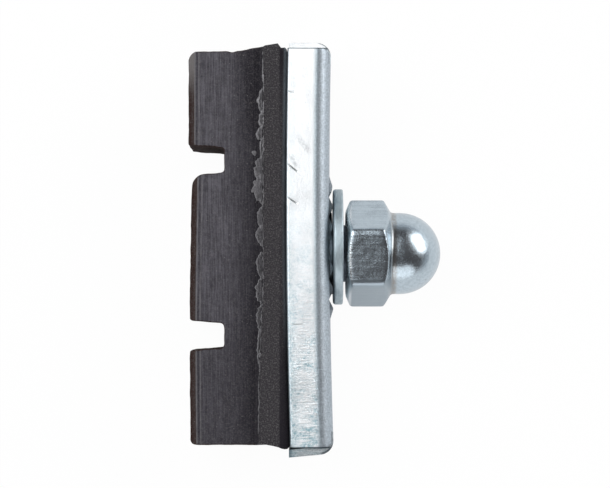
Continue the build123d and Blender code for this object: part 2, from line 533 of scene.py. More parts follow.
@dataclass(frozen=True)
class SheetFinish(ZincFinish):
    """Zinc on the folded sheet: bright walls, duller towards the lower end and over the bends, with painted
    shade on the bends, along the walls' front edges and ends, on the flaps' rims and on the band.

    Attributes:
        wall_front: Front edge of the walls along the bolt.
        wall_end: Half length of the walls.
        bend_radius: Outer radius of the bends.
        flap_start: Where the end flaps part from the walls, from the middle.
        flap_bend: Where the bends of the end flaps begin, from the middle.
        flap_side: Half width of the end flaps.
        band_end: Half length of the serrated band.
        bend_shade: Colour of the bends, darkened as painted shade of the dim floor they mirror.
        flap_tint: Colour of the lower flap.
        front_edge_shade: Colour of the painted shade along the walls' front edges.
    """

    wall_front: float = -4.52
    wall_end: float = 20.65
    bend_radius: float = 1.4
    flap_start: float = 18.95
    flap_bend: float = 19.75
    flap_side: float = 5.22
    band_end: float = 5.9
    bend_shade: Colour = (0.51, 0.565, 0.62)
    flap_tint: Colour = (0.10, 0.17, 0.20)
    front_edge_shade: Colour = (0.18, 0.22, 0.25)

    def drawn(self, canvas: Canvas) -> Socket:
        """Mask of the drawn lines, which show towards the lower end."""
        lines = canvas.use(Effect.LINES, Stretch=self.stretch, Low=0.46, High=0.66)
        return canvas.times(lines, canvas.fade(canvas.axes[1], 8.0, -10.0, 0.06))

    def dullness(self, canvas: Canvas, lines: Socket) -> Socket:
        """Draw the dull plate, with painted shade along the walls' front edges and over the bends.

        Args:
            canvas: The material.
            lines: Mask of the drawn lines.

        Returns:
            The mask's socket.
        """
        height = canvas.axes[1]
        patches = canvas.use(Effect.LINES, Stretch=(0.5, 0.7, 0.7), Low=0.41, High=0.63)
        fine = canvas.use(Effect.GRAIN, Scale=4.5, Low=0.34, High=0.66)
        uneven = canvas.scaled(fine, 1.25, 0.38)
        worn = canvas.times(canvas.scaled(patches, 0.42, 0.22), uneven)
        worn = canvas.most(canvas.scaled(lines, -0.5, worn), 0.0)
        worn = canvas.times(worn, canvas.fade(height, 11.0, -17.0))
        # Painted shade: the plate darkens towards the walls' front edges, more towards the lower end, for
        # the shading of their rounded edges.
        edge = canvas.fade(canvas.straight, self.wall_front + 1.5, self.wall_front + 0.1, 0.0, 0.34)
        edge = canvas.times(edge, canvas.fade(height, 14.0, -14.0, 0.2, 1.4), uneven)
        return canvas.most(worn, edge, self.bent(canvas))

    def bent(self, canvas: Canvas) -> Socket:
        """Draw the bends along the walls and the back, without the end flaps.

        Args:
            canvas: The material.

        Returns:
            The mask's socket.
        """
        beyond = canvas.away(canvas.axes[1], HOLDER_MIDDLE)
        aside = canvas.away(canvas.axes[2])
        rim = canvas.fade(aside, self.flap_side - 0.27, self.flap_side - 0.12, 0.0, 0.6)
        flap = canvas.times(
            canvas.most(rim, canvas.fade(beyond, self.flap_bend + 0.2, self.flap_bend + 1.1)),
            canvas.fade(beyond, self.flap_start - 0.1, self.flap_start),
            canvas.fade(aside, self.flap_side + 0.08, self.flap_side),
        )
        bend = canvas.fade(canvas.straight, BEND_START - 0.4, BEND_START + 0.4, 0.0, 0.95)
        return canvas.times(bend, canvas.minus(1.0, flap))

    def marked(self, canvas: Canvas, colour: Socket, grain: Socket) -> Socket:
        """Paint shade on the bends and the walls' front edges, darken the lower flap, and paint shade at the
        walls' ends, on the flaps' rims and on the band under the washer.

        Args:
            canvas: The material.
            colour: Colour so far.
            grain: Mask of the grain.

        Returns:
            The colour's socket.
        """
        height = canvas.axes[1]
        beyond = canvas.minus(height, HOLDER_MIDDLE)
        bend = self.bent(canvas)
        # Painted shade: the bends are darkened to stand in for the dim floor they mirror.
        colour = canvas.blend(bend, colour, self.bend_shade)
        colour = canvas.blend(canvas.times(grain, 0.4, bend), colour, self.grime_and_shade)
        # Painted shade: a blue-grey band with an uneven border along the walls' front edges, for the shading
        # of their rounded edges.
        uneven = canvas.scaled(grain, -0.05, canvas.straight)
        front = canvas.fade(uneven, self.wall_front + 0.36, self.wall_front - 0.08, 0.0, 0.92)
        front = canvas.times(front, canvas.fade(beyond, self.wall_end + 0.1, self.wall_end, 0.1))
        colour = canvas.blend(front, colour, self.front_edge_shade)
        flap = canvas.fade(beyond, -self.wall_end + 0.05, -self.wall_end - 0.1, 0.0, 0.48)
        flap = canvas.times(flap, canvas.scaled(grain, 0.8, 0.6))
        colour = canvas.blend(flap, colour, self.flap_tint)
        # Painted shade: a dark line where the walls end over the end flaps, for the shade in that step.
        gap = canvas.away(canvas.away(beyond), self.wall_end)
        wall_end_shade = canvas.fade(gap, 0.16, 0.04, 0.0, 0.9)
        # Painted shade: the band under the washer is darkened for the shade in the narrow gap between holder
        # and washer.
        band = canvas.fade(canvas.straight, -0.12, 0.06, 0.0, 0.75)
        band = canvas.times(band, canvas.fade(canvas.away(height), self.band_end + 0.5, self.band_end - 0.5))
        return canvas.blend(canvas.most(wall_end_shade, self.flap_rim_shade(canvas), band), colour, self.grime_and_shade)

    def flap_rim_shade(self, canvas: Canvas) -> Socket:
        """Draw painted shade on the sheared rims of the end flaps, stronger round their bends.

        Args:
            canvas: The material.

        Returns:
            The mask's socket.
        """
        along = canvas.most(canvas.minus(canvas.straight, BEND_START), 0.0)
        outward = canvas.minus(canvas.away(canvas.axes[1], HOLDER_MIDDLE), self.flap_bend)
        radius = canvas.math("SQRT", canvas.scaled(along, along, canvas.times(outward, outward)))
        return canvas.times(
            canvas.fade(radius, self.bend_radius - 0.06, self.bend_radius + 0.06),
            canvas.fade(outward, 0.3, 0.8),
            canvas.fade(canvas.away(canvas.axes[2]), self.flap_side - 0.27, self.flap_side - 0.12),
            canvas.fade(along, 0.0, 0.4, 0.14, 0.8),
        )


@dataclass(frozen=True)
class NutFinish(ZincFinish):
    """Zinc on the cap nut: drawn lines on the hexagon, a brown seam at the neck and a plain dome.

    Attributes:
        seam: Where the seam lies along the bolt.
        seam_tint: Colour of the seam.
        seat: Where the seat lies along the bolt.
        bright: Colour of the painted highlight on the edge round the seat.
        shaded_lower_flat: Where the lowest flat begins along the pad, which is rougher and darkened as
            painted shade of the shadowed floor it mirrors.
    """

    seam: float = 6.75
    seam_tint: Colour = (0.27, 0.235, 0.20)
    seat: float = 1.75
    bright: Colour = (0.93, 0.96, 0.98)
    shaded_lower_flat: float = -2.3

    def drawn(self, canvas: Canvas) -> Socket:
        """Mask of the drawn lines, which end at the neck."""
        lines = canvas.use(Effect.LINES, Stretch=self.stretch, Low=0.4, High=0.64)
        return canvas.times(lines, canvas.fade(canvas.axes[0], self.seam - 0.2, self.seam - 0.6, 0.1))

    def dullness(self, canvas: Canvas, lines: Socket) -> Socket:
        """Draw the dull plate, which is faint and fine on the dome, with painted shade on the lowest flat of
        the hexagon.

        Args:
            canvas: The material.
            lines: Mask of the drawn lines.

        Returns:
            The mask's socket.
        """
        hexagon = canvas.fade(canvas.axes[0], self.seam + 0.4, self.seam - 0.2)
        patchy = canvas.times(hexagon, super().dullness(canvas, lines))
        # Painted shade: the lowest flat is duller and darker for the shadowed floor it mirrors.
        below = canvas.fade(canvas.axes[1], self.shaded_lower_flat, self.shaded_lower_flat - 0.8, 0.2, 1.2)
        mottle = canvas.use(Effect.GRAIN, Scale=3.2, Low=0.36, High=0.64)
        return canvas.most(patchy, canvas.times(hexagon, below), canvas.scaled(mottle, 0.4, 0.02))

    def marked(self, canvas: Canvas, colour: Socket, grain: Socket) -> Socket:
        """Lay specks, a painted highlight on the edge round the seat and the brown seam over the colour.

        Args:
            canvas: The material.
            colour: Colour so far.
            grain: Mask of the grain.

        Returns:
            The colour's socket.
        """
        depth = canvas.axes[0]
        colour = super().marked(canvas, colour, grain)
        # Painted highlight: the edge round the seat is lightened for the light it catches.
        edge = canvas.fade(depth, self.seat + 0.7, self.seat + 0.25)
        colour = canvas.blend(edge, colour, self.bright)
        band = canvas.fade(canvas.away(depth, self.seam), 0.45, 0.1)
        return canvas.blend(canvas.times(band, canvas.scaled(grain, 0.5, 0.25)), colour, self.seam_tint)


@dataclass(frozen=True)
class RubberFinish:
    """Black moulded rubber with fine mould lines, brown worn faces and a grainy lip.

    Attributes:
        name: Name of the material.
        side: Colour of the moulded sides.
        dark_and_shade: Colour in the mould lines, and of the painted shade towards the lip, towards the
            lower end, behind the lip and along the worn edge.
        lip: Colour of the grainy lip.
        worn: Colour of the worn and cut faces.
        dust_and_highlight: Colour of dust in the grain, and of the painted highlights along the worn edge.
        roughness: Roughness of the sides.
        gloss: Strength of the reflections.
        lip_front: Where the lip begins along the bolt.
        lip_back: Where the lip ends along the bolt.
        film: Colour of the painted reflection of the zinc walls on the rubber beside them.
        painted_shade_along_pad: Share of the dark colour along the pad, as painted shade that deepens
            towards the lower end.
    """

    name: str
    side: Colour
    dark_and_shade: Colour
    lip: Colour
    worn: Colour
    dust_and_highlight: Colour
    roughness: float
    gloss: float
    lip_front: float = LIP_FRONT
    lip_back: float = LIP_BACK
    film: Colour = (0.175, 0.20, 0.225)
    painted_shade_along_pad: Profile = Profile(((-16.0, 0.42), (2.0, 0.0)))

    def material(self) -> bpy.types.Material:
        """Build the material.

        Returns:
            The new material.
        """
        canvas = Canvas(self.name)
        depth, height, side = canvas.axes
        level = canvas.minus(depth, SWAY.along(canvas))
        on_lip = canvas.fade(level, self.lip_front - 0.1, self.lip_front + 0.1)
        upright = canvas.away(canvas.split(canvas.add("ShaderNodeNewGeometry").outputs["Normal"])[2])
        ahead = canvas.fade(level, self.lip_front - 0.25, self.lip_front - 0.5)
        on_cut = canvas.times(canvas.fade(upright, 0.93, 0.76), ahead)
        lines = canvas.use(Effect.LINES, Stretch=(7.0, 0.22, 7.0), Low=0.4, High=0.61)
        grain = canvas.use(Effect.GRAIN, Scale=6.5, Low=0.44, High=0.68)
        colour = canvas.blend(on_lip, self.side_colour(canvas, lines), self.lip)
        colour = canvas.blend(on_cut, colour, self.worn)
        scuff = canvas.times(
            on_cut,
            canvas.fade(side, 4.1, 4.5),
            canvas.fade(height, 15.5, 19.8, 0.0, 0.55),
            canvas.fade(depth, FACE + 1.1, FACE + 0.8),
        )
        colour = canvas.blend(scuff, colour, self.dust_and_highlight)
        colour = self.edge_lines(canvas, colour, canvas.fade(upright, 0.5, 0.65))
        colour = canvas.blend(self.dusty(canvas, grain, on_lip), colour, self.dust_and_highlight)
        behind = canvas.fade(depth, self.lip_back - 0.2, self.lip_back - 0.02)
        colour = canvas.blend(canvas.times(behind, GAP_SHADE.along(canvas)), colour, self.dark_and_shade)
        # Painted reflection: a blue-grey on the rubber beside the walls, for the light the zinc walls throw
        # onto it.
        beside_walls = canvas.fade(canvas.straight, self.lip_back + 0.06, self.lip_back + 0.4)
        colour = canvas.blend(canvas.times(beside_walls, WALL_REFLECTION.along(canvas)), colour, self.film)
        rough = canvas.scaled(canvas.most(on_lip, on_cut), 0.35, self.roughness)
        normal = canvas.bumped(canvas.times(lines, canvas.minus(1.0, on_lip)), 0.03)
        pitted = canvas.times(grain, canvas.scaled(on_lip, 0.8, 0.2))
        canvas.join(canvas.shader, {
            "Specular IOR Level": self.gloss,
            "Base Color": colour,
            "Roughness": canvas.scaled(lines, 0.1, rough),
            "Normal": canvas.bumped(pitted, 0.06, normal),
        })
        return canvas.material

    def side_colour(self, canvas: Canvas, lines: Socket) -> Socket:
        """Colour the moulded sides, with painted shade towards the lip, more at the upper end, and towards
        the lower end.

        Args:
            canvas: The material.
            lines: Mask of the mould lines.

        Returns:
            The colour's socket.
        """
        depth, height, _ = canvas.axes
        mottle = canvas.use(Effect.GRAIN, Scale=1.5, Low=0.34, High=0.68)
        upper = canvas.fade(depth, self.lip_front - 3.4, self.lip_front - 0.8, 0.0, 0.72)
        colour = self.side
        # The first share is the rubber's own mould lines and mottle; the others are painted shade: darker
        # towards the lip, which shades the side, more so at the upper end, and towards the lower end.
        for share in (
            canvas.scaled(lines, 0.4, canvas.times(mottle, 0.3)),
            canvas.fade(depth, FACE + 3.0, self.lip_front - 0.6, 0.0, 0.78),
            canvas.fade(depth, self.lip_front - 1.6, self.lip_front - 0.4, 0.0, 0.6),
            canvas.times(upper, canvas.fade(height, 9.0, 16.0)),
            self.painted_shade_along_pad.along(canvas),
        ):
            colour = canvas.blend(share, colour, self.dark_and_shade)
        return colour

    def edge_lines(self, canvas: Canvas, colour: Socket, on_top: Socket) -> Socket:
        """Lay fine broken lines along the worn edge: painted highlights and a painted dark line, for the
        shading of a fine groove there.

        Args:
            canvas: The material.
            colour: Colour so far.
            on_top: Mask of the sides and the bevels.

        Returns:
            The colour's socket.
        """
        inward = canvas.minus(canvas.axes[0], canvas.math("ADD", WEAR.along(canvas), FACE))
        broken = canvas.use(Effect.LINES, Stretch=(0.3, 0.5, 0.3), Low=0.2, High=0.55)
        shown = canvas.times(broken, on_top)
        # Painted light and shade: light lines in the dust colour and a dark line between them stand in for
        # the lit rims and shaded hollow of a fine groove.
        for middle, width, strength, tint in (
            (0.5, 0.3, 0.06, self.dust_and_highlight),
            (0.7, 0.11, 0.34, self.dust_and_highlight),
            (0.91, 0.1, 0.6, self.dark_and_shade),
            (1.12, 0.11, 0.26, self.dust_and_highlight),
        ):
            band = canvas.fade(canvas.away(inward, middle), width, 0.2 * width, 0.0, strength)
            colour = canvas.blend(canvas.times(band, shown), colour, tint)
        return colour

    def dusty(self, canvas: Canvas, grain: Socket, on_lip: Socket) -> Socket:
        """Draw the dust: in the grain, as specks, and as crumbs on the lip.

        Args:
            canvas: The material.
            grain: Mask of the grain.
            on_lip: Mask of the lip.

        Returns:
            The mask's socket.
        """
        ground = canvas.times(grain, canvas.scaled(on_lip, 0.3, 0.17))
        specks = canvas.use(Effect.SPECKS, Scale=2.2, Size=0.2, Share=0.34)
        crumbs = canvas.use(Effect.SPECKS, Scale=3.4, Size=0.26, Share=0.3)
        return canvas.most(ground, canvas.times(specks, 0.6), canvas.times(on_lip, 0.4, crumbs))


class Workpiece:
    """Mesh under work, in millimetres, in the shared frame."""

    def __init__(self) -> None:
        """Start with an empty mesh."""
        self.mesh = bmesh.new()

    @classmethod
    def from_node(cls, node: str) -> "Workpiece":
        """Copy a CAD node.

        Args:
            node: Name of the node.

        Returns:
            A merged copy of the node's mesh.
        """
        work = cls()
        work.read(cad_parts[node].data)
        bmesh.ops.remove_doubles(work.mesh, verts=work.mesh.verts, dist=0.0005)
        return work

    def read(self, data: bpy.types.Mesh) -> None:
        """Read a mesh that is in metres into the empty work."""
        self.mesh.from_mesh(data)
        bmesh.ops.scale(self.mesh, vec=(1 / MM,) * 3, verts=self.mesh.verts)

    def flatten(self, angle: float = 0.5) -> None:
        """Join the triangles that meet at less than an angle in degrees into one face."""
        bmesh.ops.dissolve_limit(
            self.mesh, angle_limit=math.radians(angle), use_dissolve_boundaries=False,
            verts=self.mesh.verts, edges=self.mesh.edges, delimit=set(),
        )

    def soften(self, angle: float, width: float, segments: int) -> None:
        """Round the sharp edges.

        Args:
            angle: Edges whose faces meet at more than this are sharp, in degrees.
            width: How far the rounding reaches from each edge.
            segments: Faces across the rounding.
        """
        limit = math.radians(angle)
        edges = [edge for edge in self.mesh.edges if edge.is_manifold and edge.calc_face_angle() > limit]
        bmesh.ops.bevel(
            self.mesh, geom=edges, offset=width, offset_type="OFFSET", affect="EDGES",
            segments=segments, profile=0.5, material=-1, clamp_overlap=True,
        )

    def slice(self, axis: Vector, places: list[float]) -> None:
        """Cut the mesh across an axis at each of the places, so that it can bend."""
        for place in places:
            bmesh.ops.bisect_plane(
                self.mesh, geom=self.mesh.verts[:] + self.mesh.edges[:] + self.mesh.faces[:],
                dist=0.0001, plane_co=axis * place, plane_no=axis,
            )

    def remesh(self, voxel: float) -> None:
        """Rebuild the mesh on an even grid.

        Args:
            voxel: Size of the grid.
        """
        loose = placed("loose", self.data("loose"))
        grid = loose.modifiers.new("grid", "REMESH")
        grid.mode = "VOXEL"
        grid.voxel_size = voxel * MM
        bpy.context.view_layer.update()
        made = bpy.data.meshes.new_from_object(loose.evaluated_get(bpy.context.evaluated_depsgraph_get()))
        bpy.data.objects.remove(loose)
        self.mesh = bmesh.new()
        self.read(made)
        bpy.data.meshes.remove(made)

    def smooth(self, steps: int, before: float = math.inf) -> None:
        """Relax the mesh.

        Args:
            steps: Number of passes.
            before: Where along the bolt the relaxed part ends.
        """
        relaxed = [vertex for vertex in self.mesh.verts if vertex.co.x < before]
        for _ in range(steps):
            bmesh.ops.smooth_vert(
                self.mesh, verts=relaxed, factor=0.5, use_axis_x=True, use_axis_y=True, use_axis_z=True
            )

    def move(self, rule: Callable[[Vector], None]) -> None:
        """Move each point by a rule that changes it in place."""
        for vertex in self.mesh.verts:
            rule(vertex.co)

    def roughen(self, depth: float, scale: float) -> None:
        """Push the surface in and out by noise.

        Args:
            depth: Largest move.
            scale: Features per millimetre.
        """
        self.mesh.normal_update()
        for vertex in self.mesh.verts:
            vertex.co += vertex.normal * depth * noise.noise(vertex.co * scale)

    def keep_inside(self, node: str) -> None:
        """Bring every point inside the box of a CAD node.

        Args:
            node: Name of the node.
        """
        low, high = (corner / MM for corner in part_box(node))
        for vertex in self.mesh.verts:
            for axis in range(3):
                vertex.co[axis] = min(high[axis], max(low[axis], vertex.co[axis]))

    def data(self, name: str) -> bpy.types.Mesh:
        """Write the mesh out in metres and let go of it.

        Args:
            name: Name of the new mesh.

        Returns:
            The new mesh.
        """
        bmesh.ops.scale(self.mesh, vec=(MM,) * 3, verts=self.mesh.verts)
        for part in (self.mesh.faces, self.mesh.edges):
            for element in part:
                element.smooth = True
        data = bpy.data.meshes.new(name)
        self.mesh.to_mesh(data)
        self.mesh.free()
        if "custom_normal" in data.attributes:
            data.attributes.remove(data.attributes["custom_normal"])
        return data

    def piece(self, name: str, finish: bpy.types.Material, slot: Slot, *nodes: str) -> bpy.types.Object:
        """Make the work a piece of the object.

        Args:
            name: Name of the piece.
            finish: Its material.
            slot: Material slot of the record; not used.
            nodes: CAD nodes that it stands for.

        Returns:
            The new object.
        """
        data = self.data(name)
        data.materials.clear()
        data.materials.append(finish)
        made = placed(name, data)
        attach(made, BODY)
        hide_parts(*nodes)
        log.info("%s: %d faces", name, len(data.polygons))
        return made


def level_flats(piece: bpy.types.Object) -> None:
    """Let the large faces of a rounded piece keep their own normals.

    Args:
        piece: The piece.
    """
    leveller = piece.modifiers.new("flats", "WEIGHTED_NORMAL")
    leveller.mode = "FACE_AREA"
    leveller.weight = 50


@dataclass
class ShoeHolder:
    """Folded steel holder, bowed a little, with softened edges and nicks.

    Attributes:
        edge: Rounding of the sheared edges.
        pitch: Distance between the slices that let it bend.
        flap_end: Where the end flaps stand clear of the walls, from the middle.
        flap_length: Length of their straight parts, whose ends stay clear of the bow.
        finish: Zinc, with its nicks and smudges.
    """

    edge: float = 0.1
    pitch: float = 1.5
    flap_end: float = 20.77
    flap_length: float = 2.7
    finish: ZincFinish = SheetFinish(
        name="holder zinc",
        pale=(0.965, 0.985, 1.0), dull=(0.28, 0.465, 0.53), grime_and_shade=(0.05, 0.07, 0.085),
        roughness=0.36, rough_spread=0.06, stretch=(0.8, 6.0, 6.0), line_depth=0.008,
        wave_depth=0.05, wave_scale=0.35, speck_share=0.0,
        nicks=(
            Nick((-3.8, 8.65, 6.1), -38.0, 0.8, 0.13, 0.12, 0.7),
            Nick((-3.85, 5.3, 6.1), -34.0, 0.7, 0.12, 0.12, 0.7),
            Nick((-3.95, 16.6, 6.1), -8.0, 0.45, 0.12, 0.06, 0.15),
            Nick((-2.75, 11.2, 6.1), -52.0, 1.6, 0.5, 0.0, 0.22),
            Nick((-3.7, 9.4, 6.1), -66.0, 1.0, 0.45, 0.0, 0.26),
            Nick((-3.7, 17.2, 6.1), 90.0, 3.4, 0.55, 0.0, 0.09),
            Nick((-3.2, -7.4, 6.1), 4.0, 0.7, 0.1, 0.12, 0.0),
            Nick((-3.3, -14.3, 6.1), 80.0, 2.2, 1.6, 0.0, 0.12),
        ),
    )

    def build(self) -> None:
        """Build the piece."""
        work = Workpiece.from_node("shoe_holder")
        work.flatten()
        work.soften(angle=30.0, width=self.edge, segments=2)
        low, high = (corner.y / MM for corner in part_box("shoe_holder"))
        count = int((high - low) / self.pitch)
        work.slice(Vector((0, 1, 0)), [low + self.pitch * step for step in range(1, count + 1)])
        work.move(self.bow)
        level_flats(work.piece("shoe_holder_dressed", self.finish.material(), Slot.HOLDER, "shoe_holder"))

    def bow(self, point: Vector) -> None:
        """Bow the holder, apart from the ends of its flaps.

        Args:
            point: Point to move.
        """
        on_flap = abs(point.y - HOLDER_MIDDLE) > self.flap_end
        free = (BEND_START - point.x) / self.flap_length if on_flap else 0.0
        point.x += BOW.at(point.y) * (1.0 - clamped(free))


@dataclass
class Fasteners:
    """Bolt, washer and cap nut.

    Attributes:
        nut_voxel: Grid of the nut's mesh.
        nut_wear: Passes that round its edges.
        seat_end: How far along the bolt the rounder end by the washer reaches.
        seat_wear: Passes that round that end.
        washer_edge: Rounding of the washer's edges.
        bolt: Zinc on the bolt, dark as painted shade of the narrow gap between washer and nut where it
            shows.
        washer: Zinc on the washer.
        nut: Zinc on the nut.
    """

    nut_voxel: float = 0.09
    nut_wear: int = 14
    seat_end: float = 2.4
    seat_wear: int = 6
    washer_edge: float = 0.24
    # Painted shade: the bolt's zinc is dark for the shade in the gap between washer and nut.
    bolt: ZincFinish = ZincFinish(
        name="bolt zinc",
        pale=(0.20, 0.23, 0.27), dull=(0.12, 0.14, 0.17), grime_and_shade=(0.05, 0.05, 0.05),
        roughness=0.4, rough_spread=0.15, stretch=(0.6, 5.0, 5.0), line_depth=0.01,
        wave_depth=0.01, wave_scale=0.5, speck_share=0.1,
    )
    washer: ZincFinish = ZincFinish(
        name="washer zinc",
        pale=(0.50, 0.58, 0.62), dull=(0.36, 0.44, 0.48), grime_and_shade=(0.14, 0.13, 0.12),
        roughness=0.4, rough_spread=0.1, stretch=(6.0, 1.2, 1.2), line_depth=0.012,
        wave_depth=0.02, wave_scale=0.6, speck_share=0.1,
    )
    nut: ZincFinish = NutFinish(
        name="nut zinc",
        pale=(0.50, 0.58, 0.64), dull=(0.33, 0.385, 0.43), grime_and_shade=(0.10, 0.08, 0.07),
        roughness=0.19, rough_spread=0.08, stretch=(0.1, 3.2, 3.2), line_depth=0.006,
        wave_depth=0.05, wave_scale=0.7, speck_share=0.2,
    )

    def build(self) -> None:
        """Dress the bolt, and build the washer and the nut."""
        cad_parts["bolt"].data.materials[0] = self.bolt.material()
        log.info("bolt: dressed")
        work = Workpiece.from_node("washer")
        work.soften(angle=40.0, width=self.washer_edge, segments=3)
        level_flats(work.piece("washer_dressed", self.washer.material(), Slot.WASHER, "washer"))
        work = Workpiece.from_node("cap_nut")
        work.remesh(self.nut_voxel)
        work.smooth(self.nut_wear)
        work.smooth(self.seat_wear, before=self.seat_end)
        work.keep_inside("cap_nut")
        work.piece("cap_nut_dressed", self.nut.material(), Slot.NUT, "cap_nut")


@dataclass
class RubberBlock:
    """Moulded rubber block.

    Attributes:
        voxel: Grid of the block's mesh.
        wear: Passes that round its edges.
        relief: Depths of its unevenness, each with its features per millimetre.
        sway_reach: How far in front of the lip its sway fades.
        throat: Length of the throat behind the lip.
        root_top: Half width that the throat stands out from.
        closeness: How far the throat comes towards the walls.
        bevel: Bevel of the long edges.
        fill: Share of the far bevel that is filled.
        fill_margin: How far past the bevel the filling reaches.
        wear_end: Where along the bolt the wear ends.
        wear_depth: Distance from there to full wear.
        end_start: Where the uneven upper end begins along the pad.
        foot_start: Where the uneven lower end begins along the pad.
        end_depth: Distance from there to full unevenness.
        end_shape: Rise of the upper end by place along the bolt.
        foot_shape: Rise of the lower end by place along the bolt.
        finish: Rubber.
    """

    voxel: float = 0.165
    wear: int = 2
    relief: tuple[Span, ...] = ((0.05, 0.5), (0.03, 1.7))
    sway_reach: float = 1.2
    throat: float = 0.42
    root_top: float = 5.25
    closeness: float = 0.07
    bevel: float = 0.68
    fill: float = 0.75
    fill_margin: float = 0.05
    wear_end: float = -12.0
    wear_depth: float = 2.0
    end_start: float = 19.0
    foot_start: float = -18.4
    end_depth: float = 1.4
    end_shape: Profile = Profile((
        (-15.0, 0.0), (-10.6, 0.02), (-10.1, -0.1), (-9.6, -0.06), (-7.2, 0.06), (-5.35, 0.1), (-5.05, -0.4),
        (-4.62, -0.4), (-4.56, 0.0),
    ))
    foot_shape: Profile = Profile(((-15.0, 0.0), (-7.2, 0.0), (-6.2, 0.1), (-5.4, 0.14), (-4.7, 0.0)))
    finish: RubberFinish = RubberFinish(
        name="rubber",
        side=(0.106, 0.101, 0.118), dark_and_shade=(0.013, 0.011, 0.016), lip=(0.036, 0.033, 0.038),
        worn=(0.024, 0.010, 0.008), dust_and_highlight=(0.26, 0.25, 0.25), roughness=0.48, gloss=0.14,
    )

    def build(self) -> None:
        """Build the piece."""
        work = Workpiece.from_node("rubber_block")
        work.remesh(self.voxel)
        work.smooth(self.wear)
        for rule in (self.wear_face, self.settle_end, self.sway_lip, self.fill_far_edge):
            work.move(rule)
        for depth, scale in self.relief:
            work.roughen(depth, scale)
        work.move(self.follow_bow)
        work.keep_inside("rubber_block")
        work.piece("rubber_block_dressed", self.finish.material(), Slot.RUBBER, "rubber_block")

    def wear_face(self, point: Vector) -> None:
        """Set a point of the friction face back a little where it is worn."""
        share = clamped((self.wear_end - point.x) / self.wear_depth)
        point.x += share * WEAR.at(point.y)

    def settle_end(self, point: Vector) -> None:
        """Give the ends their uneven outlines.

        Args:
            point: Point to move.
        """
        upper = clamped((point.y - self.end_start) / self.end_depth)
        lower = clamped((self.foot_start - point.y) / self.end_depth)
        point.y += upper * self.end_shape.at(point.x) + lower * self.foot_shape.at(point.x)

    def sway_lip(self, point: Vector) -> None:
        """Widen the lip towards the lower end, as it was moulded.

        Args:
            point: Point to move.
        """
        ahead = point.x - LIP_FRONT
        share = 1.0 - (ahead / (LIP_BACK - LIP_FRONT) if ahead > 0.0 else -ahead / self.sway_reach)
        point.x += max(0.0, share) * SWAY.at(point.y)

    def fill_far_edge(self, point: Vector) -> None:
        """Bring out the long edge that lies on the floor, which isn't worn to a bevel.

        Args:
            point: Point to move.
        """
        if point.z < self.bevel - BLOCK_TOP + self.fill_margin and point.x < FACE + self.bevel:
            push = self.fill * max(0.0, min(point.x - FACE, FACE + self.bevel - point.x))
            point.x -= push
            point.z = max(-BLOCK_TOP, point.z - push)

    def follow_bow(self, point: Vector) -> None:
        """Bend the throat and the root with the holder, and bring the throat close to the walls.

        Args:
            point: Point to move.
        """
        share = clamped((point.x - LIP_BACK) / self.throat)
        close = self.closeness if abs(point.z) > self.root_top else 0.0
        point.x += share * (BOW.at(point.y) + close)


@dataclass(frozen=True)
class Lobe:
    """One lobe of moulding flash.

    Attributes:
        start: Upper end along the pad.
        end: Lower end along the pad.
        reach: How far it stands out in front of the lip.
    """

    start: float
    end: float
    reach: float


